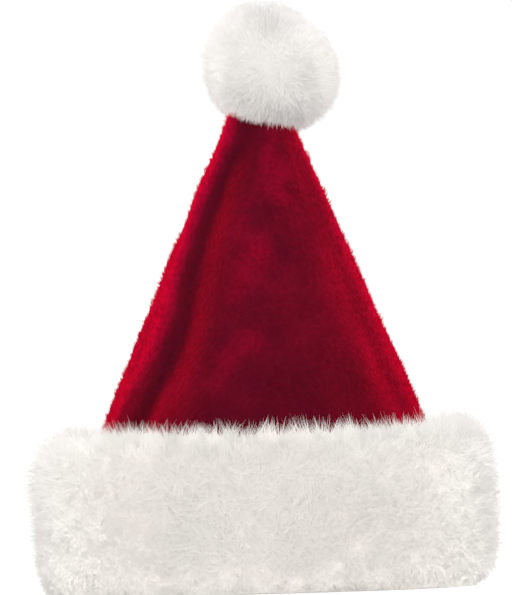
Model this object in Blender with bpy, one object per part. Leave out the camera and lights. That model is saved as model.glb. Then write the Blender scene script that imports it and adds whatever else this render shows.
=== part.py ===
"""A plush santa hat that stands on its turned-up fur cuff.

Three sewn pieces: the red crown, a hollow cone of 3 mm plush that is open at
the rim; the white fur cuff round it; and the white fur pompom over its tip.
Metres, +Z up, and the front of the hat faces -Y.
"""

import math
import random
from collections import namedtuple

import bmesh
import bpy
from mathutils import Vector

# Driving sizes. The rim is the oval that an adult head goes into.
RIM_HALF_WIDTH = 0.1050
RIM_DEPTH_RATIO = 0.848
CLOTH_THICKNESS = 0.003
PIECE_GAP = 0.0003

# Round the hat every ring has the same columns, so neighbouring walls stay parallel.
COLUMNS = 60

# The crown's axis stands a little right of the cuff's middle.
CROWN_AXIS_X = 0.0004
CROWN_RIM_HEIGHT = 0.004
CUFF_TOP_HEIGHT = 0.082
CAP_BASE_HEIGHT = 0.252
CAP_HEIGHT = 0.019
WALL_ROWS_IN_CUFF = 4
WALL_ROWS_ABOVE_CUFF = 12
CAP_RINGS = 2

Section = namedtuple("Section", "height half_width depth_ratio")
CROWN_SECTIONS = (
    Section(0.004, RIM_HALF_WIDTH, RIM_DEPTH_RATIO),
    Section(0.032, 0.1030, 0.840),
    Section(0.062, 0.0980, 0.822),
    Section(0.091, 0.0891, 0.800),
    Section(0.142, 0.0678, 0.768),
    Section(0.195, 0.0457, 0.738),
    Section(0.248, 0.0237, 0.710),
    Section(0.256, 0.0203, 0.705),
)

# Each fold runs up the crown. Its angle is in degrees from the left side towards
# the front, at its low and its high end, and a depth below zero is a valley.
Fold = namedtuple("Fold", "low_angle high_angle depth width")
FOLDS = (
    Fold(39, 62, -0.0040, 0.0065),
    Fold(20, 36, 0.0022, 0.0110),
    Fold(70, 96, 0.0010, 0.0180),
    Fold(151, 140, -0.0015, 0.0100),
    Fold(207, 214, -0.0020, 0.0090),
    Fold(270, 270, -0.0016, 0.0060),
    Fold(318, 310, -0.0024, 0.0100),
)
FOLD_LOW_HEIGHT = 0.096
FOLD_HIGH_HEIGHT = 0.247
FOLD_FADE_START = 0.060
FOLD_FADE_END = 0.100

# The cuff's backing in section: how far each height reaches outside the rim.
Reach = namedtuple("Reach", "height outside_rim")
CUFF_SECTION = (
    Reach(0.0000, 0.0114),
    Reach(0.0060, 0.0152),
    Reach(0.0220, 0.0170),
    Reach(0.0450, 0.0173),
    Reach(0.0620, 0.0162),
    Reach(0.0745, 0.0124),
    Reach(0.0815, 0.0040),
    Reach(0.0838, -0.0050),
)
CUFF_LIP_HEIGHT = 0.0034
CUFF_FRONT_RISE = 0.003
CUFF_LOCK_ROWS = 9
CUFF_LOCK_LENGTH = 0.0078
CUFF_TUFT_LENGTH = 0.0084
CUFF_FLOOR_CLEARANCE = 0.0012
CUFF_GRID_SHAKE = 0.34

# Locks over the middle of the cuff's outside lean up, and those under it lean down.
CUFF_LEAN_TURNS_AT = 0.5
CUFF_TUFTS_END_AT = 1 / 3

# The fur ball sits to the right of the crown's axis.
POMPOM_CENTRE = Vector((0.0100, 0.0, 0.2880))
POMPOM_CORE_RADIUS = 0.0285
POMPOM_LOCK_LENGTH = 0.0080
POMPOM_POINTS = 330
POMPOM_NECK_CLEARANCE = 0.0012
SOCKET_ROWS = 5

LOCK_VARIATION = 0.22
LOCK_LEAN = 0.3
POMPOM_LOCK_LEAN = 0.15
FUR_SEED = 11

Finish = namedtuple("Finish", "name colour roughness sheen")
RED_PLUSH = Finish("red plush", (0.36, 0.004, 0.018, 1.0), 0.85, 0.6)
WHITE_FUR = Finish("white fur", (0.82, 0.78, 0.73, 1.0), 0.95, 0.3)

LEFT_SIDE = math.pi
FULL_TURN = 2 * math.pi
GOLDEN_ANGLE = math.pi * (3 - math.sqrt(5))


def clear_scene():
    for existing in list(bpy.data.objects):
        bpy.data.objects.remove(existing, do_unlink=True)


def smooth_row(rows, height):
    """The table's row at a height, on a smooth curve through its rows."""
    last = len(rows) - 1
    height = min(max(height, rows[0].height), rows[last].height)
    index = max(i for i in range(last) if rows[i].height <= height)
    low, high = rows[index], rows[index + 1]
    step = high.height - low.height
    t = (height - low.height) / step
    values = []
    for column in range(1, len(low)):
        slopes = []
        for at in (index, index + 1):
            before, after = rows[max(at - 1, 0)], rows[min(at + 1, last)]
            slopes.append((after[column] - before[column]) / (after.height - before.height))
        values.append(
            (2 * t**3 - 3 * t**2 + 1) * low[column]
            + (t**3 - 2 * t**2 + t) * step * slopes[0]
            + (3 * t**2 - 2 * t**3) * high[column]
            + (t**3 - t**2) * step * slopes[1]
        )
    return type(low)(height, *values)


def points_along(points, shares):
    """Points at the given shares of the length of a line of points."""
    lengths = [0.0]
    for before, after in zip(points, points[1:]):
        lengths.append(lengths[-1] + (after - before).length)
    placed = []
    for share in shares:
        wanted = lengths[-1] * share
        index = max(i for i in range(len(points) - 1) if lengths[i] <= wanted)
        part = (wanted - lengths[index]) / (lengths[index + 1] - lengths[index])
        placed.append(points[index].lerp(points[index + 1], part))
    return placed


def fade(value, start, end):
    t = min(max((value - start) / (end - start), 0.0), 1.0)
    return t * t * (3 - 2 * t)


def fold_depth(angle, height, half_width):
    """How far the cloth stands out of the plain cone here, and below zero how far in."""
    rise = (height - FOLD_LOW_HEIGHT) / (FOLD_HIGH_HEIGHT - FOLD_LOW_HEIGHT)
    total = 0.0
    for fold in FOLDS:
        degrees = fold.low_angle + (fold.high_angle - fold.low_angle) * rise
        turn = angle - LEFT_SIDE - math.radians(degrees)
        turn = (turn + math.pi) % FULL_TURN - math.pi
        total += fold.depth * math.exp(-((turn * half_width / fold.width) ** 2))
    return total * fade(height, FOLD_FADE_START, FOLD_FADE_END)


def crown_point(angle, height, swell=0.0):
    """A point of the crown's outside, or of the same shape grown by swell."""
    cap_turn = 0.0
    if height > CAP_BASE_HEIGHT:
        cap_turn = math.asin(min((height - CAP_BASE_HEIGHT) / CAP_HEIGHT, 1.0))
    section = smooth_row(CROWN_SECTIONS, min(height, CAP_BASE_HEIGHT))
    out = fold_depth(angle, height, section.half_width)
    half_width = (section.half_width + out) * math.cos(cap_turn) + swell
    half_depth = (section.half_width * section.depth_ratio + out) * math.cos(cap_turn) + swell
    return Vector((
        CROWN_AXIS_X + half_width * math.cos(angle),
        half_depth * math.sin(angle),
        height + swell * math.sin(cap_turn),
    ))


def rim_oval_point(angle, outside, height):
    return Vector((
        (RIM_HALF_WIDTH + outside) * math.cos(angle),
        (RIM_HALF_WIDTH * RIM_DEPTH_RATIO + outside) * math.sin(angle),
        height,
    ))


def column_angles():
    return [FULL_TURN * column / COLUMNS for column in range(COLUMNS)]


def wall_heights():
    """Heights of the crown's rings from the rim up to where its cap starts."""
    in_cuff = CUFF_TOP_HEIGHT - CROWN_RIM_HEIGHT
    above_cuff = CAP_BASE_HEIGHT - CUFF_TOP_HEIGHT
    heights = []
    for row in range(WALL_ROWS_IN_CUFF):
        heights.append(CROWN_RIM_HEIGHT + in_cuff * row / WALL_ROWS_IN_CUFF)
    for row in range(WALL_ROWS_ABOVE_CUFF + 1):
        heights.append(CUFF_TOP_HEIGHT + above_cuff * row / WALL_ROWS_ABOVE_CUFF)
    return heights


def cap_heights():
    """Heights of the rings that close the crown's tip, without its top point."""
    quarter = math.pi / 2
    return [
        CAP_BASE_HEIGHT + CAP_HEIGHT * math.sin(quarter * ring / (CAP_RINGS + 1))
        for ring in range(1, CAP_RINGS + 1)
    ]


def add_ring(mesh, points):
    return [mesh.verts.new(point) for point in points]


def bridge(mesh, lower, upper, facing_in=False):
    """Quads between two rings. Both ways of facing split along the same diagonal."""
    faces = []
    for column in range(len(lower)):
        after = (column + 1) % len(lower)
        corners = [lower[column], lower[after], upper[after], upper[column]]
        if facing_in:
            corners = [corners[0], corners[3], corners[2], corners[1]]
        faces.append(mesh.faces.new(corners))
    return faces


def fan(mesh, ring, top):
    for column in range(len(ring)):
        mesh.faces.new((ring[column], ring[(column + 1) % len(ring)], top))


def crown_rings(mesh, heights, swell):
    """Rings of the crown's shape at the given heights, closed at the tip."""
    rings = []
    for height in heights:
        rings.append(add_ring(mesh, [crown_point(angle, height, swell) for angle in column_angles()]))
    for lower, upper in zip(rings, rings[1:]):
        bridge(mesh, lower, upper)
    tip = Vector((CROWN_AXIS_X, 0.0, CAP_BASE_HEIGHT + CAP_HEIGHT + swell))
    fan(mesh, rings[-1], mesh.verts.new(tip))
    return rings


def material_of(finish):
    material = bpy.data.materials.new(finish.name)
    material.use_nodes = True
    shader = material.node_tree.nodes["Principled BSDF"]
    shader.inputs["Base Color"].default_value = finish.colour
    shader.inputs["Roughness"].default_value = finish.roughness
    shader.inputs["Metallic"].default_value = 0.0
    shader.inputs["Sheen Weight"].default_value = finish.sheen
    material.diffuse_color = finish.colour
    return material


def object_from(name, mesh, material=None):
    data = bpy.data.meshes.new(name)
    mesh.to_mesh(data)
    mesh.free()
    made = bpy.data.objects.new(name, data)
    bpy.context.scene.collection.objects.link(made)
    if material:
        data.materials.append(material)
    return made


def build_crown(material):
    mesh = bmesh.new()
    crown_rings(mesh, wall_heights() + cap_heights(), 0.0)
    crown = object_from("crown", mesh, material)
    crown.data.shade_smooth()
    wall = crown.modifiers.new("cloth thickness", "SOLIDIFY")
    wall.thickness = CLOTH_THICKNESS
    wall.offset = -1.0
    wall.use_even_offset = True
    wall.use_rim = True
    return crown


def grow_locks(mesh, faces, tip_of):
    """Pokes each face out to a leaning tip, and leaves a face flat where tip_of gives None."""
    for face in faces:
        tip = tip_of(face)
        if tip is None:
            continue
        poked = bmesh.ops.poke(mesh, faces=[face])
        poked["verts"][0].co = tip


def cuff_outer_points(angle, shares):
    """Points of the backing's outside at one angle, from the crown's wall down to the floor."""
    front = max(-math.sin(angle), 0.0)
    stretch = 1 + CUFF_FRONT_RISE * front * front / CUFF_TOP_HEIGHT
    line = [crown_point(angle, CUFF_TOP_HEIGHT, PIECE_GAP)]
    for reach in reversed(CUFF_SECTION):
        line.append(rim_oval_point(angle, reach.outside_rim, reach.height * stretch))
    return points_along(line, shares)


def build_cuff(material):
    mesh = bmesh.new()
    chance = random.Random(FUR_SEED)
    angles = column_angles()
    wall = wall_heights()[: WALL_ROWS_IN_CUFF + 1]

    # The lip closes under the crown's rim, and the rim stands on its seat.
    lip_bottom = add_ring(mesh, [rim_oval_point(a, -CLOTH_THICKNESS, 0.0) for a in angles])
    lip_top = add_ring(mesh, [rim_oval_point(a, -CLOTH_THICKNESS, CUFF_LIP_HEIGHT) for a in angles])
    rim_points = [crown_point(a, CROWN_RIM_HEIGHT, PIECE_GAP) for a in angles]
    seat = add_ring(mesh, [Vector((p.x, p.y, CUFF_LIP_HEIGHT)) for p in rim_points])
    inner = [lip_bottom, lip_top, seat]
    for height in wall[1:]:
        inner.append(add_ring(mesh, [crown_point(a, height, PIECE_GAP) for a in angles]))

    outer = [inner[-1]]
    for row in range(1, CUFF_LOCK_ROWS + 1):
        shake = CUFF_GRID_SHAKE if row < CUFF_LOCK_ROWS else 0.0
        points = []
        for angle in angles:
            share = (row + shake * chance.uniform(-1, 1)) / CUFF_LOCK_ROWS
            shaken_angle = angle + shake * chance.uniform(-1, 1) * FULL_TURN / COLUMNS
            points += cuff_outer_points(shaken_angle, [share])
        outer.append(add_ring(mesh, points))

    for lower, upper in zip(inner, inner[1:]):
        bridge(mesh, lower, upper, facing_in=True)
    lock_faces = []
    for upper, lower in zip(outer, outer[1:]):
        lock_faces.append(bridge(mesh, lower, upper))
    bridge(mesh, lip_bottom, outer[-1])

    for row, faces in enumerate(lock_faces):
        down = row / (CUFF_LOCK_ROWS - 1)
        past_tufts = min(down / CUFF_TUFTS_END_AT, 1.0)
        length = CUFF_TUFT_LENGTH + (CUFF_LOCK_LENGTH - CUFF_TUFT_LENGTH) * past_tufts
        lean = Vector((0.0, 0.0, 1.0)) * (CUFF_LEAN_TURNS_AT - down) * length

        def tip_of(face):
            face.normal_update()
            reach = length * (1 + LOCK_VARIATION * chance.uniform(-1, 1))
            sideways = face.normal.cross(Vector((0, 0, 1))) * length * LOCK_LEAN * chance.uniform(-1, 1)
            tip = face.calc_center_median() + face.normal * reach + lean + sideways
            tip.z = max(tip.z, CUFF_FLOOR_CLEARANCE)
            return tip

        grow_locks(mesh, faces, tip_of)
    return object_from("cuff", mesh, material)


def inside_crown(point, clearance):
    """Whether a point lies inside the crown's outside grown by a clearance."""
    if point.z > CAP_BASE_HEIGHT + CAP_HEIGHT + clearance:
        return False
    angle = math.atan2(point.y, point.x - CROWN_AXIS_X)
    wall = crown_point(angle, min(point.z, CAP_BASE_HEIGHT + CAP_HEIGHT), clearance)
    axis = Vector((CROWN_AXIS_X, 0.0))
    return (point.xy - axis).length < (wall.xy - axis).length


def socket_cutter():
    """The crown's tip grown by the gap, which the pompom's socket fits."""
    mesh = bmesh.new()
    heights = wall_heights()[-SOCKET_ROWS:] + cap_heights()
    rings = crown_rings(mesh, heights, PIECE_GAP)
    mesh.faces.new(reversed(rings[0]))
    cutter = object_from("pompom socket cutter", mesh)
    cutter.hide_render = True
    cutter.display_type = "WIRE"
    return cutter


def build_pompom(material):
    mesh = bmesh.new()
    chance = random.Random(FUR_SEED + 1)
    for number in range(POMPOM_POINTS):
        height = 1 - 2 * (number + 0.5) / POMPOM_POINTS
        ring_radius = math.sqrt(1 - height * height)
        turn = number * GOLDEN_ANGLE
        direction = Vector((ring_radius * math.cos(turn), ring_radius * math.sin(turn), height))
        mesh.verts.new(POMPOM_CENTRE + direction * POMPOM_CORE_RADIUS)
    bmesh.ops.convex_hull(mesh, input=list(mesh.verts))

    def tip_of(face):
        centre = face.calc_center_median()
        outward = (centre - POMPOM_CENTRE).normalized()
        across = outward.cross(Vector((0, 1, 0))).normalized()
        length = POMPOM_LOCK_LENGTH * (1 + LOCK_VARIATION * chance.uniform(-1, 1))
        tip = centre + (outward + across * POMPOM_LOCK_LEAN * chance.uniform(-1, 1)) * length
        crossed = any(
            inside_crown(centre.lerp(tip, part), POMPOM_NECK_CLEARANCE) for part in (0.0, 0.5, 1.0)
        )
        return None if crossed else tip

    grow_locks(mesh, list(mesh.faces), tip_of)
    pompom = object_from("pompom", mesh, material)
    socket = pompom.modifiers.new("socket", "BOOLEAN")
    socket.operation = "DIFFERENCE"
    socket.solver = "EXACT"
    socket.object = socket_cutter()
    return pompom


def main():
    clear_scene()
    plush = material_of(RED_PLUSH)
    fur = material_of(WHITE_FUR)
    build_crown(plush)
    build_cuff(fur)
    build_pompom(fur.copy())


main()
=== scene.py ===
import math

import bpy
import numpy as np
from mathutils import Matrix, Vector


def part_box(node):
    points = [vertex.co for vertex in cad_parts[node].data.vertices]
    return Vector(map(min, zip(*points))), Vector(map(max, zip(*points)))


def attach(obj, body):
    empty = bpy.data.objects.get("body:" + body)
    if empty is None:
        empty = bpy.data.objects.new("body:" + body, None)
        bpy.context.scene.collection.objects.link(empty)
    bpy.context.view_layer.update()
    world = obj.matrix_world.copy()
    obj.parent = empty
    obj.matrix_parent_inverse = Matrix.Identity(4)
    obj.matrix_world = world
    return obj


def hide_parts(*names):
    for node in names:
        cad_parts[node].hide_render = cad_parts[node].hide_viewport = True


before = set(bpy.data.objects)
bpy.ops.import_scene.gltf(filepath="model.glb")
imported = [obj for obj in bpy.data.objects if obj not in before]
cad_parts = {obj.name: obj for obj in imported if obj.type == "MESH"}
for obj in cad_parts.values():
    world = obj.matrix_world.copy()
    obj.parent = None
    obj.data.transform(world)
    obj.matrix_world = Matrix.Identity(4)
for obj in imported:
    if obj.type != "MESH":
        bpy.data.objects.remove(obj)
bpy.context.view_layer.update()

fullTurn = 2 * math.pi

# What the frame says about each piece's place and size.
crownLow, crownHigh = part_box("crown")
pompomLow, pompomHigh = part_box("pompom")
rimHalfWidth = (crownHigh[0] - crownLow[0]) / 2
rimHalfDepth = (crownHigh[1] - crownLow[1]) / 2
crownAxisX = (crownHigh[0] + crownLow[0]) / 2


# Small tools: smooth tables, random ripples, meshes and node trees.

def smoothThrough(knots, values, at):
    # A smooth curve through a table's rows, straight where its rows lie in line.
    knots = np.asarray(knots, float)
    values = np.asarray(values, float)
    across = [slice(None)] + [None] * (values.ndim - 1)
    steps = knots[2:] - knots[:-2]
    slopes = np.empty_like(values)
    slopes[1:-1] = (values[2:] - values[:-2]) / steps[tuple(across)]
    slopes[0] = (values[1] - values[0]) / (knots[1] - knots[0])
    slopes[-1] = (values[-1] - values[-2]) / (knots[-1] - knots[-2])
    at = np.clip(np.asarray(at, float), knots[0], knots[-1])
    low = np.clip(np.searchsorted(knots, at, "right") - 1, 0, len(knots) - 2)
    step = knots[low + 1] - knots[low]
    t = (at - knots[low]) / step
    if values.ndim > 1:
        step = step[tuple(across)]
        t = t[tuple(across)]
    return (
        (2 * t**3 - 3 * t**2 + 1) * values[low]
        + (t**3 - 2 * t**2 + t) * step * slopes[low]
        + (3 * t**2 - 2 * t**3) * values[low + 1]
        + (t**3 - t**2) * step * slopes[low + 1]
    )


def smoothStep(value, start, end):
    t = np.clip((value - start) / (end - start), 0, 1)
    return t * t * (3 - 2 * t)


def ripple(points, waveLength, seed, waves=8, densities=(0.7, 1.4)):
    # Soft random hills over a surface, about -1 to 1 high, some of them denser than others.
    chance = np.random.default_rng(seed)
    ways = chance.normal(size=(waves, 3))
    ways /= np.linalg.norm(ways, axis=1, keepdims=True)
    ways *= fullTurn / waveLength * chance.uniform(*densities, size=(waves, 1))
    return np.sin(points @ ways.T + chance.uniform(0, fullTurn, waves)).sum(-1) / math.sqrt(waves)


def unit(vectors):
    return vectors / np.maximum(np.linalg.norm(vectors, axis=-1, keepdims=True), 1e-12)


def ringFaces(rows, columns, closeRows=False):
    # Quads of a grid whose columns close into rings.
    row, column = np.meshgrid(
        np.arange(rows if closeRows else rows - 1), np.arange(columns), indexing="ij"
    )
    afterRow = (row + 1) % rows
    afterColumn = (column + 1) % columns
    corners = [
        row * columns + column,
        row * columns + afterColumn,
        afterRow * columns + afterColumn,
        afterRow * columns + column,
    ]
    return np.stack(corners, -1).reshape(-1, 4)


def addObject(name, data):
    made = bpy.data.objects.new(name, data)
    bpy.context.scene.collection.objects.link(made)
    return made


def meshObject(name, points, faces):
    mesh = bpy.data.meshes.new(name)
    mesh.from_pydata(np.asarray(points).reshape(-1, 3).tolist(), [], [list(f) for f in faces])
    mesh.shade_smooth()
    return addObject(name, mesh)


def setAttribute(mesh, name, values):
    # Writes a number or a vector for each point, over what has this name already.
    values = np.asarray(values, np.float32)
    kind, field = ("FLOAT", "value") if values.ndim == 1 else ("FLOAT_VECTOR", "vector")
    attribute = mesh.attributes.get(name) or mesh.attributes.new(name, kind, "POINT")
    attribute.data.foreach_set(field, values.ravel())


def applied(piece, name):
    # The object as its modifiers leave it, as one plain mesh.
    graph = bpy.context.evaluated_depsgraph_get()
    mesh = bpy.data.meshes.new_from_object(piece.evaluated_get(graph), depsgraph=graph)
    mesh.name = name
    bpy.data.objects.remove(piece, do_unlink=True)
    return addObject(name, mesh)


def addNode(tree, kind, inputs=None, **settings):
    # inputs maps a socket's name or number to a value or to the socket that feeds it.
    node = tree.nodes.new(kind)
    for setting, value in settings.items():
        setattr(node, setting, value)
    for socket, value in (inputs or {}).items():
        if isinstance(value, bpy.types.NodeSocket):
            tree.links.new(value, node.inputs[socket])
        else:
            node.inputs[socket].default_value = value
    return node


def number(tree, operation, *values):
    return addNode(tree, "ShaderNodeMath", dict(enumerate(values)), operation=operation).outputs[0]


def vector(tree, operation, *values):
    node = addNode(tree, "ShaderNodeVectorMath", dict(enumerate(values)), operation=operation)
    return node.outputs["Value" if operation in ("DOT_PRODUCT", "LENGTH") else "Vector"]


def scaled(tree, value, factor):
    node = addNode(tree, "ShaderNodeVectorMath", {"Vector": value, "Scale": factor}, operation="SCALE")
    return node.outputs["Vector"]


def parts(tree, value):
    # The X, Y and Z of a vector or colour.
    return addNode(tree, "ShaderNodeSeparateXYZ", {0: value}).outputs


def summed(tree, first, *others):
    for other in others:
        first = vector(tree, "ADD", first, other)
    return first


# The crown's form: one sewn cone with soft folds that run up it.

crownForm = {
    # height, half width, depth over width, how far its middle leans to the right
    "sections": [
        (0.004, 0.1050, 0.848, 0.0),
        (0.032, 0.1030, 0.840, 0.0),
        (0.062, 0.0980, 0.822, 0.0),
        (0.091, 0.0883, 0.800, 0.0002),
        (0.142, 0.0673, 0.768, 0.0003),
        (0.195, 0.0452, 0.738, 0.0008),
        (0.264, 0.0160, 0.705, 0.0022),
    ],
    # the long crease: height, degrees from the left side towards the front
    "crease": [
        (0.096, 40), (0.121, 46), (0.145, 50), (0.170, 47), (0.205, 45), (0.230, 52), (0.247, 61),
    ],
    # its depth, and its width on its steep and on its gentle side
    "creaseDepth": 0.0046,
    "creaseWidth": (0.0050, 0.0150),
    # the roll beside the crease: degrees before it, height, width
    "roll": (15, 0.0026, 0.0090),
    # lesser folds: degrees at the low and high end, depth, width
    "folds": [
        (70, 96, 0.0010, 0.0180),
        (151, 140, -0.0015, 0.0100),
        (207, 214, -0.0020, 0.0090),
        (270, 270, -0.0016, 0.0060),
        (318, 310, -0.0024, 0.0100),
    ],
    "foldLow": 0.096,
    "foldHigh": 0.247,
    "foldFade": (0.060, 0.100),
    "rimHeight": 0.004,
    "capBase": 0.264,
    "capHeight": 0.007,
    "rows": 92,
    "capRows": 6,
    "columns": 150,
    "thickness": 0.003,
    "cutSize": (0.61, 0.30),
    "cutArea": 0.105,
    # small waves in the cloth above the cuff: how high, how long, and where they start
    "ripple": 0.0005,
    "rippleLength": 0.030,
    "rippleZone": (0.085, 0.11),
    "rippleSeed": 3,
}
crownTopX = crownAxisX + crownForm["sections"][-1][3]


def turnFrom(angle, degrees):
    # The turn from a line at this many degrees past the left side, -pi to pi.
    turn = angle - math.pi - np.radians(degrees)
    return (turn + math.pi) % fullTurn - math.pi


def creaseLine(height):
    return smoothThrough(*np.array(crownForm["crease"]).T, height)


def foldDepth(angle, height, halfWidth):
    rise = (height - crownForm["foldLow"]) / (crownForm["foldHigh"] - crownForm["foldLow"])
    turn = turnFrom(angle, creaseLine(height)) * halfWidth
    steep, gentle = crownForm["creaseWidth"]
    total = -crownForm["creaseDepth"] * np.exp(-((turn / np.where(turn < 0, steep, gentle)) ** 2))
    before, rollHeight, rollWidth = crownForm["roll"]
    turn = turnFrom(angle, creaseLine(height) - before) * halfWidth
    total = total + rollHeight * np.exp(-((turn / rollWidth) ** 2))
    for lowAngle, highAngle, depth, width in crownForm["folds"]:
        turn = turnFrom(angle, lowAngle + (highAngle - lowAngle) * rise) * halfWidth
        total = total + depth * np.exp(-((turn / width) ** 2))
    return total * smoothStep(height, *crownForm["foldFade"])


def crownSurface(angle, height, grow=0.0):
    sections = np.array(crownForm["sections"])
    capTurn = np.arcsin(np.clip((height - crownForm["capBase"]) / crownForm["capHeight"], 0, 1))
    at = np.minimum(height, crownForm["capBase"])
    halfWidth = smoothThrough(sections[:, 0], sections[:, 1], at)
    halfDepth = halfWidth * smoothThrough(sections[:, 0], sections[:, 2], at)
    middle = crownAxisX + smoothThrough(sections[:, 0], sections[:, 3], at)
    out = foldDepth(angle, height, halfWidth)
    x = middle + ((halfWidth + out) * np.cos(capTurn) + grow) * np.cos(angle)
    y = ((halfDepth + out) * np.cos(capTurn) + grow) * np.sin(angle)
    return np.stack(np.broadcast_arrays(x, y, height + grow * np.sin(capTurn)), -1)


def crownGrid():
    form = crownForm
    wall = np.linspace(form["rimHeight"], form["capBase"], form["rows"])
    quarter = np.linspace(0, math.pi / 2, form["capRows"] + 2)[1:-1]
    heights = np.concatenate([wall, form["capBase"] + form["capHeight"] * np.sin(quarter)])
    angles = np.arange(form["columns"]) * fullTurn / form["columns"]
    points = crownSurface(angles[None, :], heights[:, None])
    sway = ripple(points, form["rippleLength"], form["rippleSeed"])
    sway = sway * smoothStep(points[..., 2], *form["rippleZone"])
    outward = unit(points * (1, 1, 0) - (crownAxisX, 0, 0))
    return points + outward * (sway * form["ripple"])[..., None]


def gridTangents(points, closeRows):
    around = unit(np.roll(points, -1, 1) - np.roll(points, 1, 1))
    if closeRows:
        along = unit(np.roll(points, -1, 0) - np.roll(points, 1, 0))
    else:
        along = unit(np.gradient(points, axis=0))
    return around, along


# One tree grows all the piles: spikes of fibre that lean, tangle and gather in tufts.

def spikeMesh(name):
    # A thin three-sided spike, closed at its foot. Its place along the fibre is an attribute.
    sides = 3
    turns = [fullTurn * side / sides + math.pi / 6 for side in range(sides)]
    rim = [(math.cos(turn), math.sin(turn), 0.0) for turn in turns] + [(0.0, 0.0, 0.0)]
    along = [0.0] * sides + [1.0]
    faces = [[2, 1, 0]]
    for side in range(sides):
        faces.append([side, (side + 1) % sides, sides])
    points = [(r[0], r[1], a) for r, a in zip(rim, along)]
    spike = meshObject(name, points, faces)
    setAttribute(spike.data, "along", along)
    setAttribute(spike.data, "rim", rim)
    return spike


pileInputs = {
    "Skin": "NodeSocketGeometry",
    "Spike": "NodeSocketObject",
    "Spikes per m2": "NodeSocketFloat",
    "Seed": "NodeSocketInt",
    "Length": "NodeSocketFloat",
    "Length spread": "NodeSocketFloat",
    "Thickness": "NodeSocketFloat",
    "Stand": "NodeSocketFloat",
    "Lean": "NodeSocketFloat",
    "Tangle": "NodeSocketFloat",
    "Tangle size": "NodeSocketFloat",
    "Stray": "NodeSocketFloat",
    "Tuft size": "NodeSocketFloat",
    "Tuft pull": "NodeSocketFloat",
    "Tuft spread": "NodeSocketFloat",
    "Roundness": "NodeSocketFloat",
    "Sink": "NodeSocketFloat",
    "Floor": "NodeSocketFloat",
    "Material": "NodeSocketMaterial",
}


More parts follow.
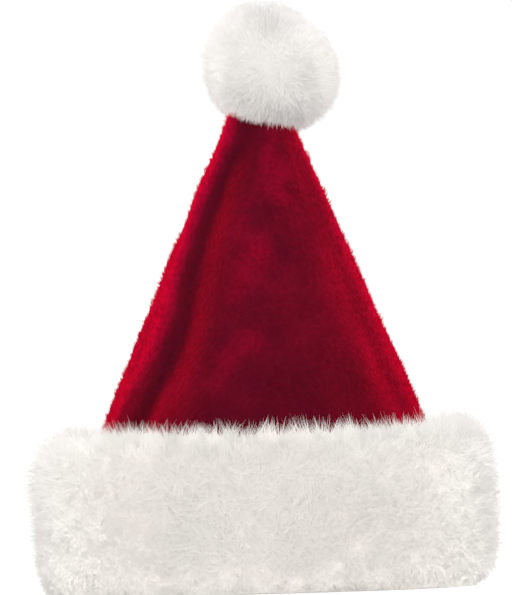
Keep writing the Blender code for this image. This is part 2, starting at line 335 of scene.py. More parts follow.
def buildPileTree():
    tree = bpy.data.node_groups.new("pile", "GeometryNodeTree")
    for name, kind in pileInputs.items():
        tree.interface.new_socket(name, in_out="INPUT", socket_type=kind)
    tree.interface.new_socket("Pile", in_out="OUTPUT", socket_type="NodeSocketGeometry")
    given = addNode(tree, "NodeGroupInput").outputs

    def named(name, kind="FLOAT_VECTOR"):
        node = addNode(tree, "GeometryNodeInputNamedAttribute", {"Name": name}, data_type=kind)
        return node.outputs["Attribute"]

    def stored(geometry, name, value, kind="FLOAT_VECTOR"):
        node = addNode(
            tree,
            "GeometryNodeStoreNamedAttribute",
            {"Geometry": geometry, "Name": name, "Value": value},
            data_type=kind,
            domain="POINT",
        )
        return node.outputs["Geometry"]

    def chanceVector(shift):
        seed = number(tree, "ADD", given["Seed"], shift)
        node = addNode(tree, "FunctionNodeRandomValue", {"Seed": seed}, data_type="FLOAT_VECTOR")
        return node.outputs["Value"]

    def alongSkin(way):
        # The part of a direction that lies along the skin.
        off = vector(tree, "DOT_PRODUCT", way, outward)
        return vector(tree, "SUBTRACT", way, scaled(tree, outward, off))

    density = number(tree, "MULTIPLY", given["Spikes per m2"], named("thicket", "FLOAT"))
    scatter = addNode(
        tree,
        "GeometryNodeDistributePointsOnFaces",
        {"Mesh": given["Skin"], "Density": density, "Seed": given["Seed"]},
        distribute_method="RANDOM",
    )
    points = scatter.outputs["Points"]
    points = stored(points, "root", addNode(tree, "GeometryNodeInputPosition").outputs[0])
    points = stored(points, "chance", chanceVector(1))
    points = stored(points, "chanceB", chanceVector(2))
    spike = addNode(tree, "GeometryNodeObjectInfo", {"Object": given["Spike"]})
    placed = addNode(
        tree,
        "GeometryNodeInstanceOnPoints",
        {"Points": points, "Instance": spike.outputs["Geometry"]},
    )
    real = addNode(tree, "GeometryNodeRealizeInstances", {"Geometry": placed.outputs[0]}).outputs[0]

    root = named("root")
    outward = vector(tree, "NORMALIZE", named("outward"))
    comb = named("comb")
    along = named("along", "FLOAT")
    chance = vector(tree, "SUBTRACT", named("chance"), (0.5, 0.5, 0.5))
    chanceB = parts(tree, named("chanceB"))

    # The way a fibre points: off the skin, along the comb, with a tangle and a little chance.
    tangleScale = number(tree, "DIVIDE", 1.0, given["Tangle size"])
    layerShift = addNode(tree, "ShaderNodeCombineXYZ", {0: given["Seed"]}).outputs[0]
    noise = addNode(
        tree,
        "ShaderNodeTexNoise",
        {"Vector": vector(tree, "ADD", root, layerShift), "Scale": tangleScale, "Detail": 1.0},
    )
    tangle = vector(tree, "SUBTRACT", noise.outputs["Color"], (0.5, 0.5, 0.5))
    tangle = vector(tree, "NORMALIZE", alongSkin(tangle))
    way = summed(
        tree,
        scaled(tree, outward, given["Stand"]),
        scaled(tree, comb, given["Lean"]),
        scaled(tree, tangle, given["Tangle"]),
        scaled(tree, chance, given["Stray"]),
    )
    way = vector(tree, "NORMALIZE", way)

    # Each fibre's length, its tuft's length, and the pull of its tip to the middle of the tuft.
    tuftScale = number(tree, "DIVIDE", 1.0, given["Tuft size"])
    tufts = addNode(tree, "ShaderNodeTexVoronoi", {"Vector": root, "Scale": tuftScale}, feature="F1")
    toTuft = alongSkin(vector(tree, "SUBTRACT", tufts.outputs["Position"], root))
    tuftChance = parts(tree, tufts.outputs["Color"])[0]
    length = number(tree, "MULTIPLY", given["Length"], named("pile", "FLOAT"))
    for chanceOf, spreadOf in ((chanceB[0], "Length spread"), (tuftChance, "Tuft spread")):
        shorter = number(tree, "MULTIPLY", chanceOf, given[spreadOf])
        length = number(tree, "MULTIPLY", length, number(tree, "SUBTRACT", 1.0, shorter))
    reach = number(tree, "MULTIPLY", length, along)
    pull = number(tree, "MULTIPLY", along, given["Tuft pull"])

    # The spike's own three sides, round its way, with a flat one turned more or less off the skin.
    turnChance = 0.3
    offSkin = vector(tree, "ADD", outward, scaled(tree, chance, turnChance))
    sideA = vector(tree, "NORMALIZE", vector(tree, "CROSS_PRODUCT", offSkin, way))
    sideB = vector(tree, "CROSS_PRODUCT", way, sideA)
    rim = parts(tree, named("rim"))
    side = summed(tree, scaled(tree, sideA, rim[0]), scaled(tree, sideB, rim[1]))

    place = summed(
        tree,
        root,
        scaled(tree, outward, number(tree, "MULTIPLY", given["Sink"], -1.0)),
        scaled(tree, way, reach),
        scaled(tree, toTuft, pull),
        scaled(tree, side, given["Thickness"]),
    )
    split = parts(tree, place)
    overFloor = number(tree, "MAXIMUM", split[2], given["Floor"])
    place = addNode(tree, "ShaderNodeCombineXYZ", {0: split[0], 1: split[1], 2: overFloor}).outputs[0]
    shaped = addNode(tree, "GeometryNodeSetPosition", {"Geometry": real, "Position": place}).outputs[0]

    # Soft shading: mostly the skin's own normal, partly the spike's round side.
    rounded = scaled(tree, vector(tree, "NORMALIZE", side), given["Roundness"])
    soft = vector(tree, "NORMALIZE", summed(tree, outward, rounded))
    shaded = addNode(
        tree,
        "GeometryNodeSetMeshNormal",
        {"Mesh": shaped, "Custom Normal": soft},
        mode="FREE",
        domain="POINT",
    )
    whole = addNode(tree, "GeometryNodeRealizeInstances", {"Geometry": shaded.outputs[0]})
    ended = addNode(
        tree,
        "GeometryNodeSetMaterial",
        {"Geometry": whole.outputs[0], "Material": given["Material"]},
    )
    addNode(tree, "NodeGroupOutput", {0: ended.outputs[0]})
    return tree


pileTree = buildPileTree()
pileSockets = {
    item.name: item.identifier for item in pileTree.interface.items_tree if item.in_out == "INPUT"
}


def growPile(name, skin, spike, values, material):
    # Grows one pile on a copy of the skin, and leaves it as a plain mesh.
    bed = skin.copy()
    bed.data = skin.data.copy()
    bpy.context.scene.collection.objects.link(bed)
    growth = bed.modifiers.new("pile", "NODES")
    growth.node_group = pileTree
    for socket, value in values.items():
        growth[pileSockets[socket]] = value
    growth[pileSockets["Spike"]] = spike
    growth[pileSockets["Material"]] = material
    pile = applied(bed, name)
    # what only the tree needed; the finishes read the rest
    attributes = pile.data.attributes
    for spare in ("root", "outward", "comb", "thicket", "pile", "rim", "chanceB"):
        if spare in attributes:
            attributes.remove(attributes[spare])
    pile.data.calc_loop_triangles()
    print(f"{name}: {len(pile.data.loop_triangles)} triangles")
    return pile


# Finishes. Every pattern is read from Object coordinates or from the fibres themselves.

finish = {
    # where the hills of a fine noise start and end, and how detailed it is
    "grainZone": (0.35, 0.65),
    "grainDetail": 4.0,
    # the same for roughness, and how much smoother its hollows are
    "roughZone": (0.3, 0.7),
    "roughDrop": 0.08,
}


def newMaterial(name):
    material = bpy.data.materials.new(name)
    material.use_nodes = True
    tree = material.node_tree
    return material, tree, tree.nodes["Principled BSDF"]


def mixed(tree, factor, first, second, blend="MIX"):
    node = addNode(tree, "ShaderNodeMix", data_type="RGBA", blend_type=blend)
    for socket, value in (("Factor_Float", factor), ("A_Color", first), ("B_Color", second)):
        target = next(s for s in node.inputs if s.identifier == socket)
        if isinstance(value, bpy.types.NodeSocket):
            tree.links.new(value, target)
        else:
            target.default_value = value
    return next(s for s in node.outputs if s.identifier == "Result_Color")


def patches(tree, size, detail=3.0):
    # A soft noise whose hills are about this many metres apart.
    place = addNode(tree, "ShaderNodeTexCoord").outputs["Object"]
    return addNode(
        tree, "ShaderNodeTexNoise", {"Vector": place, "Scale": 1 / size, "Detail": detail}
    ).outputs["Fac"]


def spread(tree, value, low, high, start=0.0, end=1.0):
    node = addNode(
        tree,
        "ShaderNodeMapRange",
        {"Value": value, "From Min": low, "From Max": high, "To Min": start, "To Max": end},
    )
    return node.outputs["Result"]


def ofMesh(tree, name, output="Fac"):
    # What the mesh says at this point: a number, or a vector.
    return addNode(tree, "ShaderNodeAttribute", attribute_name=name).outputs[output]


def fineGrain(tree, look):
    return spread(tree, patches(tree, look["grainSize"], finish["grainDetail"]), *finish["grainZone"])


def addBump(tree, shader, bump, height):
    # bump is its strength and its depth in metres.
    values = {"Strength": bump[0], "Distance": bump[1], "Height": height}
    node = addNode(tree, "ShaderNodeBump", values)
    tree.links.new(node.outputs["Normal"], shader.inputs["Normal"])


def setFinish(tree, shader, look, colour):
    # The colour, roughness with a fine grain, and the soft sheen of pile.
    tree.links.new(colour, shader.inputs["Base Color"])
    grain = patches(tree, look["grainSize"])
    smooth = look["roughness"] - finish["roughDrop"]
    rough = spread(tree, grain, *finish["roughZone"], smooth, look["roughness"])
    tree.links.new(rough, shader.inputs["Roughness"])
    shader.inputs["Specular IOR Level"].default_value = look["gloss"]
    shader.inputs["Sheen Weight"].default_value = look["sheen"]
    shader.inputs["Sheen Roughness"].default_value = look["sheenRoughness"]
    shader.inputs["Sheen Tint"].default_value = look["sheenColour"]


def fibreColour(tree, look):
    # From the fibre's foot to its tip, and a little different from fibre to fibre.
    along = spread(tree, ofMesh(tree, "along"), 0.0, look["footShare"])
    colour = mixed(tree, along, look["foot"], look["tip"])
    lone = parts(tree, ofMesh(tree, "chance", "Vector"))[2]
    return mixed(tree, number(tree, "MULTIPLY", lone, look["lone"]), colour, look["loneColour"])


def furMaterial(name, look, fibres):
    material, tree, shader = newMaterial(name)
    if fibres:
        colour = fibreColour(tree, look)
    else:
        # the skin under the fibres runs in a fine grain from painted shade, as among the fibres, to
        # the tip colour
        colour = mixed(tree, fineGrain(tree, look), look["hollow"], look["tip"])
        addBump(tree, shader, look["bump"], patches(tree, look["grainSize"]))
    warm = spread(tree, patches(tree, look["patchSize"]), *look["patchZone"])
    colour = mixed(tree, number(tree, "MULTIPLY", warm, look["warm"]), colour, look["warmColour"])
    setFinish(tree, shader, look, colour)
    return material


def plushMaterial(name, look, fibres):
    material, tree, shader = newMaterial(name)
    nap = spread(tree, patches(tree, look["patchSize"], look["patchDetail"]), *look["patchZone"])
    colour = mixed(tree, nap, look["shade"], look["light"])
    # painted highlight on the rolls and sides and painted shade in the crease and at the foot, mixed
    # with the nap's own patches
    paintedLightAndTone = ofMesh(tree, "paintedLightAndTone")
    colour = mixed(tree, spread(tree, paintedLightAndTone, 0.0, 1.0), colour, look["highlightAndBrushedNap"])
    colour = mixed(tree, spread(tree, paintedLightAndTone, 0.0, -1.0), colour, look["shadeAndPressedNap"])
    fine = number(tree, "MULTIPLY", fineGrain(tree, look), look["grain"])
    colour = mixed(tree, fine, colour, look["grainColour"])
    if fibres:
        tipness = number(tree, "MULTIPLY", ofMesh(tree, "along"), look["tipShare"])
        colour = mixed(tree, tipness, colour, look["tip"])
    else:
        height = patches(tree, look["grainSize"], finish["grainDetail"])
        addBump(tree, shader, look["bump"], height)
    setFinish(tree, shader, look, colour)
    return material


def backingMaterial(look):
    # The knitted back of the plush, which shows inside the hat.
    material, tree, shader = newMaterial("plushBacking")
    wave = {
        "Vector": addNode(tree, "ShaderNodeTexCoord").outputs["Object"],
        # a wave's scale is its rows in each metre, times a tenth of pi
        "Scale": look["rowsPerMetre"] * math.pi / 10,
        "Distortion": look["wander"],
        "Detail": 1.0,
    }
    rows = addNode(tree, "ShaderNodeTexWave", wave, bands_direction="Z").outputs["Fac"]
    colour = mixed(tree, spread(tree, rows, *look["rowZone"]), look["groove"], look["ridge"])
    tree.links.new(colour, shader.inputs["Base Color"])
    shader.inputs["Roughness"].default_value = look["roughness"]
    addBump(tree, shader, look["bump"], rows)
    return material


# The red crown: the plush shell with its wall, then its short nap.

redLook = {
    "shade": (0.020, 0.0042, 0.0115, 1),
    "light": (0.073, 0.0042, 0.0140, 1),
    # the colours of painted highlight and painted shade, which the nap's own patches also use
    "highlightAndBrushedNap": (0.340, 0.0020, 0.0290, 1),
    "shadeAndPressedNap": (0.010, 0.0040, 0.0090, 1),
    "patchSize": 0.030,
    "patchDetail": 4.0,
    "patchZone": (0.36, 0.64),
    "bump": (0.7, 0.0008),
    "grainSize": 0.0022,
    "grain": 0.5,
    "grainColour": (0.045, 0.0030, 0.0100, 1),
    "tip": (0.122, 0.0030, 0.0140, 1),
    "tipShare": 0.35,
    "roughness": 0.9,
    "gloss": 0.0,
    "sheen": 0.84,
    "sheenRoughness": 0.65,
    "sheenColour": (1.0, 0.0, 0.032, 1),
}
backingLook = {
    "groove": (0.13, 0.004, 0.012, 1),
    "ridge": (0.19, 0.006, 0.018, 1),
    "rowsPerMetre": 550,
    "wander": 2.0,
    "rowZone": (0.2, 0.8),
    "roughness": 0.95,
    "bump": (0.5, 0.0004),
}
napValues = {
    "Spikes per m2": 560000.0,
    "Seed": 21,
    "Length": 0.0042,
    "Length spread": 0.5,
    "Thickness": 0.00030,
    "Stand": 1.0,
    "Lean": 1.0,
    "Tangle": 0.5,
    "Tangle size": 0.016,
    "Stray": 0.9,
    "Tuft size": 0.0045,
    "Tuft pull": 0.55,
    "Tuft spread": 0.35,
    "Roundness": 0.45,
    "Sink": 0.0005,
    "Floor": 0.001,
}
napBed = {
    # between which heights the nap grows, and how soft its ends are
    "low": 0.076,
    "high": 0.266,
    "fade": 0.004,
    # how far its comb wanders aside, and over what length
    "wander": 0.8,
    "wanderLength": 0.06,
    "wanderSeed": 5,
}
napLightAndTone = {
    # the fold depth at which a roll gets full painted highlight, and a crease full painted shade
    "foldDepth": 0.0034,
    # the painted shade beside the crease: how far off it, how wide, how dark
    "shadeShift": 0.004,
    "shadeWidth": 0.007,
    "shadeAmount": 0.5,
    # a painted highlight on the cone's sides, in patches: how wide, how bright, how patchy
    "sideWidth": 0.022,
    "sideAmount": 0.42,
    "sidePatches": 0.4,
    # patches all over
    "patchLength": 0.022,
    "patchAmount": 0.12,
    "patchSeed": 17,
    # the foot of the cone is in the cuff's shade
    "footZone": (0.085, 0.165),
    "footShade": 0.55,
    # a cross seam: height, width, how dark, between which degrees from the left side
    "seam": (0.2075, 0.0012, 0.45, 50, 118),
    # how far its ends fade, in radians
    "seamFade": 0.15,
    # darker and lighter spots, partly painted shade and highlight and partly the nap's own patches:
    # degrees from the left side, height, radius, how bright
    "spots": [
        (117, 0.220, 0.0028, -0.7),
        (94, 0.203, 0.0080, -0.5),
        (107, 0.190, 0.0080, -0.4),
        (81, 0.149, 0.0090, -0.4),
        (98, 0.147, 0.0080, -0.4),
        (102, 0.110, 0.0080, -0.6),
        (134, 0.106, 0.0150, -0.5),
        (158, 0.116, 0.0150, -1.1),
        (32, 0.175, 0.0140, -0.35),
        (73, 0.120, 0.0180, 0.25),
        (87, 0.135, 0.0090, 0.25),
        (100, 0.228, 0.0090, 0.20),
    ],
}


def paintNapLightAndTone(points, angles):
    # The nap's painted light and its own tone: 1 is painted highlight, as on the rolls and the cone's
    # sides, and -1 painted shade, as in and beside the crease and at the foot; the patches and the
    # seam's dark line are the plush's own.
    height = points[..., 2]
    halfWidth = smoothThrough(*np.array(crownForm["sections"]).T[:2], height)
    paintedLightAndTone = foldDepth(angles, height, halfWidth) / napLightAndTone["foldDepth"]
    beside = turnFrom(angles, creaseLine(height)) * halfWidth - napLightAndTone["shadeShift"]
    shaded = np.exp(-((beside / napLightAndTone["shadeWidth"]) ** 2))
    paintedLightAndTone = paintedLightAndTone - napLightAndTone["shadeAmount"] * shaded
    offSide = np.minimum(np.abs(np.sin(angles)), 1) * halfWidth / napLightAndTone["sideWidth"]
    hills = ripple(points, napLightAndTone["patchLength"], napLightAndTone["patchSeed"])
    paintedLightAndTone = paintedLightAndTone + napLightAndTone["sideAmount"] * np.exp(-(offSide**2)) * (1 + napLightAndTone["sidePatches"] * hills)
    paintedLightAndTone = paintedLightAndTone - napLightAndTone["footShade"] * (1 - smoothStep(height, *napLightAndTone["footZone"]))
    seamHeight, seamWidth, seamDark, start, end = napLightAndTone["seam"]
    fade = napLightAndTone["seamFade"]
    inSeam = smoothStep(turnFrom(angles, start), 0, fade) * smoothStep(turnFrom(angles, end), 0, -fade)
    paintedLightAndTone = paintedLightAndTone - seamDark * inSeam * np.exp(-(((height - seamHeight) / seamWidth) ** 2))
    for degrees, spotHeight, radius, bright in napLightAndTone["spots"]:
        away = np.hypot(turnFrom(angles, degrees) * halfWidth, height - spotHeight)
        paintedLightAndTone = paintedLightAndTone + bright * np.exp(-((away / radius) ** 2))
    return paintedLightAndTone + napLightAndTone["patchAmount"] * hills


def buildCrown():
    points = crownGrid()
    rows, columns = points.shape[:2]
    tip = rows * columns
    faces = ringFaces(rows, columns).tolist()
    last = (rows - 1) * columns
    for column in range(columns):
        faces.append([last + column, last + (column + 1) % columns, tip])
    top = (crownTopX, 0.0, crownForm["capBase"] + crownForm["capHeight"])
    allPoints = np.concatenate([points.reshape(-1, 3), [top]])

    around, up = gridTangents(points, False)
    outward = unit(np.cross(around, up))
    wander = ripple(points, napBed["wanderLength"], napBed["wanderSeed"])[..., None]
    comb = up + around * wander * napBed["wander"]
    low, high, fade = napBed["low"], napBed["high"], napBed["fade"]
    bed = smoothStep(points[..., 2], low - fade, low)
    bed = bed * (1 - smoothStep(points[..., 2], high - fade, high))

    angles = np.arange(columns) * fullTurn / columns
    # the nap's painted light and shade, with its own patches, for the shell and the nap
    paintedLightAndTone = np.append(paintNapLightAndTone(points, angles[None, :]).ravel(), 0.0)
    skin = meshObject("crownSkin", allPoints, faces)
    endUp = [(0, 0, 1)]
    setAttribute(skin.data, "paintedLightAndTone", paintedLightAndTone)
    setAttribute(skin.data, "outward", np.concatenate([outward.reshape(-1, 3), endUp]))
    setAttribute(skin.data, "comb", np.concatenate([comb.reshape(-1, 3), endUp]))
    setAttribute(skin.data, "thicket", np.append(bed.ravel(), 0.0))
    setAttribute(skin.data, "pile", np.ones(tip + 1))
    nap = growPile("crownNap", skin, shortSpike, napValues, plushMaterial("redNap", redLook, True))

    shell = meshObject("crownShell", allPoints, faces)
    setAttribute(shell.data, "paintedLightAndTone", paintedLightAndTone)
    bpy.data.objects.remove(skin, do_unlink=True)
    shell.data.materials.append(plushMaterial("redPlush", redLook, False))
    shell.data.materials.append(backingMaterial(backingLook))
    wall = shell.modifiers.new("wall", "SOLIDIFY")
    wall.thickness = crownForm["thickness"]
    wall.offset = -1.0
    wall.use_even_offset = True
    wall.material_offset = 1
    wall.material_offset_rim = 1
    return applied(shell, "crownPlush"), nap


# The white cuff: a padded band, then an under pile, a long pile, lone hairs and tufts along its top.

cuffForm = {
    # height, how far outside the rim's oval
    "section": [
        (0.0838, -0.0050),
        (0.0815, 0.0040),
        (0.0745, 0.0124),
        (0.0620, 0.0162),
        (0.0450, 0.0173),
        (0.0220, 0.0170),
        (0.0060, 0.0152),
        (0.0008, 0.0110),
    ],
    "topHeight": 0.082,
    # its top in front: how much higher, and how much more towards the right; below zero is lower
    "frontRise": -0.0010,
    "frontTilt": -0.0016,
    # between these heights the pile turns from its swirl to straight up
    "topTurn": (0.060, 0.075),
    # the skin swells at its upper right corner: height, width, by how much
    "swell": (0.0830, 0.0050, 0.0028),
    # the share of its section, before its foot, over which the outside's lumps and pile end
    "outerFade": 0.02,
    # how low the band and its skin reach
    "footHeight": 0.0008,
    "lowest": 0.0006,
    # the lip under the crown's rim
    "lipInside": 0.0025,
    "lipHeight": 0.0030,
    # its inside lies along the crown's wall, and has rings at these heights
    "wallGap": 0.0004,
    "wallHeights": (0.02, 0.04, 0.06, 0.078),
    "rows": 46,
    "columns": 230,
    "lump": 0.0012,
    "lumpLength": 0.060,
    "lumpSeed": 7,
    # how much calmer the lumps are along the top, and where
    "topCalm": (0.75, 0.060, 0.078),
    # where the pile is longer: height, width, by how much, right side 1 or left side -1
    "corners": [
        (0.0815, 0.0062, 0.90, 1),
        (0.0640, 0.0120, 0.34, -1),
        (0.0830, 0.0060, 0.25, -1),
    ],
    # its right end stands a little off the floor
    "footLift": 0.0046,
    "liftSide": (0.52, 1.05),
    "liftZone": (0.002, 0.030),
    # at its foot the pile is shorter, more so on the right, and hangs
    "footZone": (0.004, 0.018),
    "footTrim": 0.34,
    "footLean": 0.12,
    "footComb": 2.0,
    # the comb's swirl over its face: how strong, how many turns, over what length
    "faceComb": 0.5,
    "swirlTurns": 0.75,
    "swirlLength": 0.075,
    "swirlSeed": 8,
    "topComb": 0.42,
    "leftTaper": 0.22,
    "taperZone": (0.010, 0.055),
    # the pile's share beside the crown's wall, and between which distances it grows longer
    "besideWall": (0.20, 0.004, 0.014),
    "topZone": (0.072, 0.081),
    "topTrim": 0.55,
    "tuftZone": (0.066, 0.071),
    "tuftEnd": (0.0, 0.004),
}
whiteLook = {
    # painted shade on the skin that lies between the fibres
    "hollow": (0.780, 0.735, 0.680, 1),
    "foot": (0.842, 0.800, 0.746, 1),
    "tip": (0.902, 0.866, 0.823, 1),
    "footShare": 0.5,
    "lone": 0.16,
    "loneColour": (0.97, 0.96, 0.94, 1),
    "patchSize": 0.05,
    "patchZone": (0.40, 0.66),
    "bump": (0.6, 0.001),
    "warm": 0.35,
    "warmColour": (0.93, 0.875, 0.81, 1),
    "grainSize": 0.003,
    "roughness": 0.95,
    "gloss": 0.15,
    "sheen": 1.0,
    "sheenRoughness": 0.58,
    "sheenColour": (1.0, 0.99, 0.97, 1),
}
cuffPile = {
    # what the cuff's piles have in common
    "Stray": 0.9,
    "Roundness": 0.12,
    "Sink": 0.001,
    "Floor": 0.0004,
}
cuffPiles = {
    "cuffUnderPile": {
        **cuffPile,
        "Spikes per m2": 540000.0,
        "Seed": 31,
        "Length": 0.0125,
        "Length spread": 0.4,
        "Thickness": 0.00036,
        "Stand": 0.45,
        "Lean": 0.5,
        "Tangle": 0.8,
        "Tangle size": 0.009,
        "Tuft size": 0.0060,
        "Tuft pull": 0.20,
        "Tuft spread": 0.15,
    },
    "cuffLongPile": {
        **cuffPile,
        "Spikes per m2": 520000.0,
        "Seed": 32,
        "Length": 0.0155,
        "Length spread": 0.45,
        "Thickness": 0.00032,
        "Stand": 0.50,
        "Lean": 0.6,
        "Tangle": 0.8,
        "Tangle size": 0.008,
        "Tuft size": 0.0065,
        "Tuft pull": 0.25,
        "Tuft spread": 0.20,
    },
    "cuffLoneHairs": {
        **cuffPile,
        "Spikes per m2": 180000.0,
        "Seed": 34,
        "Length": 0.0125,
        "Length spread": 0.35,
        "Thickness": 0.00022,
        "Stand": 0.9,
        "Lean": 0.3,
        "Tangle": 0.5,
        "Tangle size": 0.006,
        "Tuft size": 0.0040,
        "Tuft pull": 0.20,
        "Tuft spread": 0.10,
        "Roundness": 0.10,
    },
    "cuffTopTufts": {
        **cuffPile,
        "Spikes per m2": 2500000.0,
        "Seed": 33,
        "Length": 0.0176,
        "Length spread": 0.70,
        "Thickness": 0.00020,
        "Stand": 0.15,
        "Lean": 1.3,
        "Tangle": 0.42,
        "Tangle size": 0.008,
        "Stray": 0.42,
        "Tuft size": 0.0048,
        "Tuft pull": 0.70,
        "Tuft spread": 0.25,
    },
}


def cuffGrid():
    form = cuffForm
    angles = np.arange(form["columns"]) * fullTurn / form["columns"]
    front = np.maximum(-np.sin(angles), 0) ** 2
    rise = (form["frontRise"] + form["frontTilt"] * np.cos(angles)) * front
    stretch = 1 + rise / form["topHeight"]

    def oval(outside, height):
        x = (rimHalfWidth + outside) * np.cos(angles)
        y = (rimHalfDepth + outside) * np.sin(angles)
        return np.stack(np.broadcast_arrays(x, y, height), -1)

    rings = [crownSurface(angles, np.full(len(angles), form["topHeight"]), form["wallGap"])]
    for height, outside in form["section"]:
        rings.append(oval(outside, height * stretch))
    rings.append(oval(-form["lipInside"], form["footHeight"]))
    rings.append(oval(-form["lipInside"], form["lipHeight"]))
    for height in (form["lipHeight"], *form["wallHeights"]):
        rings.append(crownSurface(angles, np.full(len(angles), height), form["wallGap"]))
    rings = np.array(rings)
    lengths = np.linalg.norm(np.diff(rings, axis=0), axis=-1).mean(1)
    knots = np.concatenate([[0], np.cumsum(lengths)])
    points = smoothThrough(knots, rings, np.linspace(0, knots[-1], form["rows"]))
    return points, knots[len(form["section"])] / knots[-1]


def cuffSkin():
    # The band's points, the ways round, down and off it, and a share that is 1 on its outside.
    form = cuffForm
    points, outerShare = cuffGrid()
    around, down = gridTangents(points, True)
    outward = unit(np.cross(down, around))
    share = np.linspace(0, 1, len(points))[:, None] * np.ones(points.shape[1])
    outer = 1 - smoothStep(share, outerShare - form["outerFade"], outerShare)
    side, height = points[..., 0] / rimHalfWidth, points[..., 2]

    calm, *calmZone = form["topCalm"]
    lumps = ripple(points, form["lumpLength"], form["lumpSeed"]) * form["lump"] * outer
    lumps = lumps * (1 - calm * smoothStep(height, *calmZone))
    swellHeight, swellWidth, swell = form["swell"]
    swelled = np.exp(-(((height - swellHeight) / swellWidth) ** 2))
    lumps = lumps + swell * swelled * np.maximum(side, 0) ** 3 * outer
    points = points + outward * lumps[..., None]

    lifted = smoothStep(points[..., 0] / rimHalfWidth, *form["liftSide"])
    lifted = lifted * (1 - smoothStep(points[..., 2], *form["liftZone"])) * outer
    points[..., 2] = np.maximum(points[..., 2], form["lowest"]) + form["footLift"] * lifted
    return points, around, down, outward, outer


def cuffComb(points, around, down):
    # The comb swirls over the face, stands up at the top and hangs at the foot.
    form = cuffForm
    topness = smoothStep(points[..., 2], *form["topTurn"])
    footness = 1 - smoothStep(points[..., 2], *form["footZone"])
    swirl = fullTurn * form["swirlTurns"] * ripple(points, form["swirlLength"], form["swirlSeed"])
    comb = around * np.cos(swirl)[..., None] + down * np.sin(swirl)[..., None]
    comb = comb * (1 - topness)[..., None] * form["faceComb"]
    upward = np.broadcast_to((0.0, 0.0, 1.0), points.shape)
    comb = comb + upward * (topness * form["topComb"])[..., None]
    return comb + down * (footness * form["footComb"])[..., None]


def cuffPileShares(points, outer):
    # How thick and how long the pile grows: for the tufts along the top, and for the rest.
    form = cuffForm
    side, height = points[..., 0] / rimHalfWidth, points[..., 2]
    length = 1.0
    for cornerHeight, width, amount, way in form["corners"]:
        corner = np.exp(-(((height - cornerHeight) / width) ** 2))
        length = length + amount * corner * np.maximum(way * side, 0)
    footness = 1 - smoothStep(height, *form["footZone"])
    length = length - (form["footTrim"] + form["footLean"] * side) * footness
    low = 1 - smoothStep(height, *form["taperZone"])
    length = length - form["leftTaper"] * np.maximum(-side, 0) * low
    length = length - form["topTrim"] * smoothStep(height, *form["topZone"])

    wall = crownSurface(np.arctan2(points[..., 1], points[..., 0]), height)
    toWall = np.linalg.norm(points[..., :2], axis=-1) - np.linalg.norm(wall[..., :2], axis=-1)
    shortest, *zone = form["besideWall"]
    offWall = shortest + (1 - shortest) * smoothStep(toWall, *zone)
    oval = np.hypot(side, points[..., 1] / rimHalfDepth)
    faceOut = smoothStep((oval - 1) * rimHalfWidth, *form["tuftEnd"])
    tufts = outer * smoothStep(height, *form["tuftZone"]) * faceOut
    return {"tufts": (tufts, offWall), "rest": (outer, length * offWall)}


def buildCuff():
    points, around, down, outward, outer = cuffSkin()
    faces = ringFaces(*points.shape[:2], True)[:, ::-1]
    band = meshObject("cuffSkin", points, faces)
    setAttribute(band.data, "outward", outward.reshape(-1, 3))
    setAttribute(band.data, "comb", cuffComb(points, around, down).reshape(-1, 3))
    shares = cuffPileShares(points, outer)
    material = furMaterial("whiteFur", whiteLook, True)
    piles = []
    for name, values in cuffPiles.items():
        thicket, length = shares["tufts" if name == "cuffTopTufts" else "rest"]
        setAttribute(band.data, "thicket", thicket.ravel())
        setAttribute(band.data, "pile", length.ravel())
        piles.append(growPile(name, band, shortSpike, values, material))
    band.data.materials.append(furMaterial("whiteBacking", whiteLook, False))
    return applied(band, "cuffBand"), piles


# The pompom: a ball with pile all round, open where the crown's tip goes in.

pompomForm = {
    "coreRadius": 0.0285,
    "sag": 0.0012,
    # where the pile is longer or shorter: direction from the middle, by how much
    "bulges": [
        ((0.75, 0.0, -0.66), 0.18),
        ((0.60, 0.0, 0.80), -0.34),
        ((-0.50, 0.0, 0.87), 0.25),
        ((-0.20, 0.0, -0.98), -0.20),
    ],
    # the pile's swirl round this axis: how strong, over what length
    "swayAxis": (0.3, 0.5, 1.0),
    "sway": 0.12,
    "swayLength": 0.025,
    "swaySeed": 9,
    "rings": 40,
    "columns": 64,
    # the gaps to the crown's tip and wall, and how deep in the wall a fibre's end may lie
    "tipGap": 0.0008,
    "neckGap": 0.0015,
    "neckReach": 0.0070,
    # how far out the ball is dented round the tip, whose own edge is at 1
    "dentReach": 1.15,
}
pompomLook = {
    **whiteLook,
    "foot": (0.976, 0.946, 0.912, 1),
    "tip": (0.982, 0.960, 0.934, 1),
    "warm": 0.20,
    "sheen": 0.45,
}
pompomPile = {
    "Spikes per m2": 4800000.0,
    "Seed": 41,
    "Length": 0.0135,
    "Length spread": 0.30,
    "Thickness": 0.00044,
    "Stand": 0.60,
    "Lean": 0.40,
    "Tangle": 0.24,
    "Tangle size": 0.008,
    "Stray": 0.85,
    "Tuft size": 0.0040,
    "Tuft pull": 0.15,
    "Tuft spread": 0.08,
    "Roundness": 0.12,
    "Sink": 0.001,
    "Floor": 0.001,
}


def ballGrid(rings, columns):
    # The ways all round a ball, with straight down and straight up last, and the faces over them.
    polar = np.linspace(0, math.pi, rings + 2)[1:-1][::-1, None]
    angles = np.arange(columns) * fullTurn / columns
    x, y = np.sin(polar) * np.cos(angles), np.sin(polar) * np.sin(angles)
    z = np.cos(polar) * np.ones(columns)
    ways = np.concatenate([np.stack([x, y, z], -1).reshape(-1, 3), [[0, 0, -1], [0, 0, 1]]])
    faces = ringFaces(rings, columns).tolist()
    foot, top, last = rings * columns, rings * columns + 1, (rings - 1) * columns
    for column in range(columns):
        after = (column + 1) % columns
        faces.append([after, column, foot])
        faces.append([last + column, last + after, top])
    return ways, faces


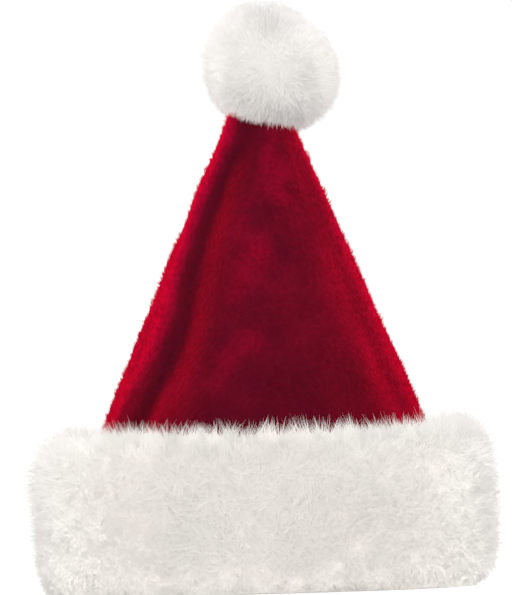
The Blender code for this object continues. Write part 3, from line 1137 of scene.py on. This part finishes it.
def dentByTip(points, centre):
    # Dents the ball's own surface where the crown's tip is sewn in.
    tipWidth, tipRatio = crownForm["sections"][-1][1:3]
    across = (points[:, 0] - crownTopX) ** 2 / tipWidth ** 2
    deep = points[:, 1] ** 2 / (tipWidth * tipRatio) ** 2
    capTop = crownForm["capBase"] + crownForm["capHeight"] * np.sqrt(np.clip(1 - across - deep, 0, 1))
    overTip = (across + deep < pompomForm["dentReach"]) & (points[:, 2] < centre[2])
    lifted = np.maximum(points[:, 2], capTop + pompomForm["tipGap"])
    points[:, 2] = np.where(overTip, lifted, points[:, 2])


def buildPompom():
    form = pompomForm
    low, high = np.array(pompomLow), np.array(pompomHigh)
    radius = (high[0] - low[0]) / 2
    centre = np.array([(high[0] + low[0]) / 2, (high[1] + low[1]) / 2, high[2] - radius - form["sag"]])
    outward, faces = ballGrid(form["rings"], form["columns"])
    points = centre + outward * form["coreRadius"]

    # Fibres whose tips would lie in the crown are turned outside it, or left out further in.
    tips = centre + outward * radius
    angle = np.arctan2(tips[:, 1], tips[:, 0] - crownTopX)
    wall = crownSurface(angle, tips[:, 2], form["neckGap"])
    axis = np.array([crownTopX, 0.0])
    inside = np.linalg.norm(wall[:, :2] - axis, axis=1) - np.linalg.norm(tips[:, :2] - axis, axis=1)
    inside = np.where(tips[:, 2] < crownForm["capBase"] + crownForm["capHeight"], inside, -1.0)
    turnedOut = np.where((inside > 0)[:, None], (wall - tips) / pompomPile["Length"], 0.0)
    grown = np.where(inside < form["neckReach"], 1.0, 0.0)
    longer = np.ones(len(tips))
    for side, amount in form["bulges"]:
        longer = longer * (1 + amount * np.maximum(outward @ np.array(side), 0) ** 3)

    dentByTip(points, centre)
    sway = form["sway"] * ripple(points, form["swayLength"], form["swaySeed"])
    sideways = unit(np.cross(outward, form["swayAxis"])) * sway[:, None] + turnedOut
    ball = meshObject("pompomSkin", points, faces)
    setAttribute(ball.data, "outward", outward)
    setAttribute(ball.data, "comb", sideways)
    setAttribute(ball.data, "thicket", grown)
    setAttribute(ball.data, "pile", longer)
    material = furMaterial("pompomFur", pompomLook, True)
    pile = growPile("pompomPile", ball, shortSpike, pompomPile, material)
    ball.data.materials.append(furMaterial("pompomBacking", pompomLook, False))
    return applied(ball, "pompomBall"), pile


shortSpike = spikeMesh("shortSpike")
crownPlush, crownNap = buildCrown()
print("crown made")
cuffBand, cuffPileMade = buildCuff()
print("cuff made")
pompomBall, pompomPileMade = buildPompom()
print("pompom made")
bpy.data.objects.remove(shortSpike, do_unlink=True)


# Camera, light and floor. The camera looks straight at the front, a hand above the floor.

view = {
    "distance": 2.4,
    "height": 0.040,
    "aim": (-0.0021, 0.0, 0.1614),
    "frameHeight": 0.32725,
    "roll": math.radians(1.5),
}
light = {
    # the studio's light on the hat, and the white that the camera sees behind it
    "world": 0.62,
    "background": 1.05,
    # each softbox has its power, size and place, and is turned to the aim
    "aim": (0.0, 0.0, 0.14),
    "sides": 11.0,
    "sideSize": (0.9, 1.2),
    "sidePlace": (1.20, 0.70, 0.55),
    "front": 4.7,
    "frontSize": (0.9, 0.7),
    "frontPlace": (0.0, -0.90, 0.75),
    "top": 7.0,
    "topSize": (1.2, 1.2),
    "topPlace": (0.0, 0.1, 1.6),
    # a narrow lamp on the pompom: power, radius, place, width in degrees
    "tip": 0.55,
    "tipRadius": 0.1,
    "tipPlace": (0.0, -0.45, 0.05),
    "tipCone": 22,
}
floorLook = {
    "halfWidth": 6,
    "colour": (0.93, 0.93, 0.93, 1),
    "roughness": 0.9,
    "gloss": 0.1,
    # its own glow grows between these distances from the hat, so that it ends in plain white
    "glow": 0.55,
    "glowZone": (0.4, 1.5),
}


def aimed(place, aim):
    # Stands a camera or lamp at a place, and turns it to what it looks at.
    turned = (Vector(aim) - Vector(place)).to_track_quat("-Z", "Y").to_matrix().to_4x4()
    return Matrix.Translation(place) @ turned


def placeCamera():
    data = bpy.data.cameras.new("camera")
    data.sensor_fit = "VERTICAL"
    data.sensor_height = 24.0
    aim = Vector(view["aim"])
    place = Vector((aim.x, -view["distance"], view["height"]))
    data.lens = data.sensor_height * (aim - place).length / view["frameHeight"]
    data.clip_start = 0.05
    camera = addObject("camera", data)
    camera.matrix_world = aimed(place, aim) @ Matrix.Rotation(-view["roll"], 4, "Z")
    bpy.context.scene.camera = camera


def addLamp(name, kind, place, aim, watts):
    # Fur lets light through, so the lamps pass it, and only the studio's own light is shaded.
    data = bpy.data.lights.new(name, kind)
    data.use_shadow = False
    data.energy = watts
    addObject(name, data).matrix_world = aimed(place, aim)
    return data


def buildStudio():
    world = bpy.data.worlds.new("studio")
    bpy.context.scene.world = world
    world.use_nodes = True
    tree = world.node_tree
    tree.nodes.clear()
    white = (1, 1, 1, 1)
    soft = addNode(tree, "ShaderNodeBackground", {"Color": white, "Strength": light["world"]})
    seen = addNode(tree, "ShaderNodeBackground", {"Color": white, "Strength": light["background"]})
    ray = addNode(tree, "ShaderNodeLightPath").outputs["Is Camera Ray"]
    both = addNode(tree, "ShaderNodeMixShader", {0: ray, 1: soft.outputs[0], 2: seen.outputs[0]})
    addNode(tree, "ShaderNodeOutputWorld", {"Surface": both.outputs[0]})

    x, y, z = light["sidePlace"]
    for name, place, size, watts in (
        ("leftSoftbox", (-x, y, z), light["sideSize"], light["sides"]),
        ("rightSoftbox", (x, y, z), light["sideSize"], light["sides"]),
        ("frontSoftbox", light["frontPlace"], light["frontSize"], light["front"]),
        ("topSoftbox", light["topPlace"], light["topSize"], light["top"]),
    ):
        softbox = addLamp(name, "AREA", place, light["aim"], watts)
        softbox.shape = "RECTANGLE"
        softbox.size, softbox.size_y = size

    pompomMiddle = [(low + high) / 2 for low, high in zip(pompomLow, pompomHigh)]
    spot = addLamp("tipSpot", "SPOT", light["tipPlace"], pompomMiddle, light["tip"])
    spot.spot_size = math.radians(light["tipCone"])
    spot.spot_blend = 1.0
    spot.shadow_soft_size = light["tipRadius"]

    half = floorLook["halfWidth"]
    corners = [(-half, -half, 0), (half, -half, 0), (half, half, 0), (-half, half, 0)]
    floor = meshObject("studioFloor", corners, [[0, 1, 2, 3]])
    material, tree, shader = newMaterial("paleFloor")
    shader.inputs["Base Color"].default_value = floorLook["colour"]
    shader.inputs["Roughness"].default_value = floorLook["roughness"]
    shader.inputs["Specular IOR Level"].default_value = floorLook["gloss"]
    shader.inputs["Emission Color"].default_value = (1, 1, 1, 1)
    place = addNode(tree, "ShaderNodeTexCoord").outputs["Object"]
    away = vector(tree, "LENGTH", place)
    glow = spread(tree, away, *floorLook["glowZone"], 0.0, floorLook["glow"])
    tree.links.new(glow, shader.inputs["Emission Strength"])
    floor.data.materials.append(material)
    settings = bpy.context.scene.view_settings
    settings.view_transform = "Standard"
    settings.look = "None"


placeCamera()
buildStudio()
print("studio made")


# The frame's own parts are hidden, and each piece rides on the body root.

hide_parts("crown")
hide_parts("cuff")
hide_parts("pompom")
for piece in (crownPlush, crownNap):
    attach(piece, "root")
for piece in (cuffBand, *cuffPileMade, pompomBall, pompomPileMade):
    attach(piece, "root")
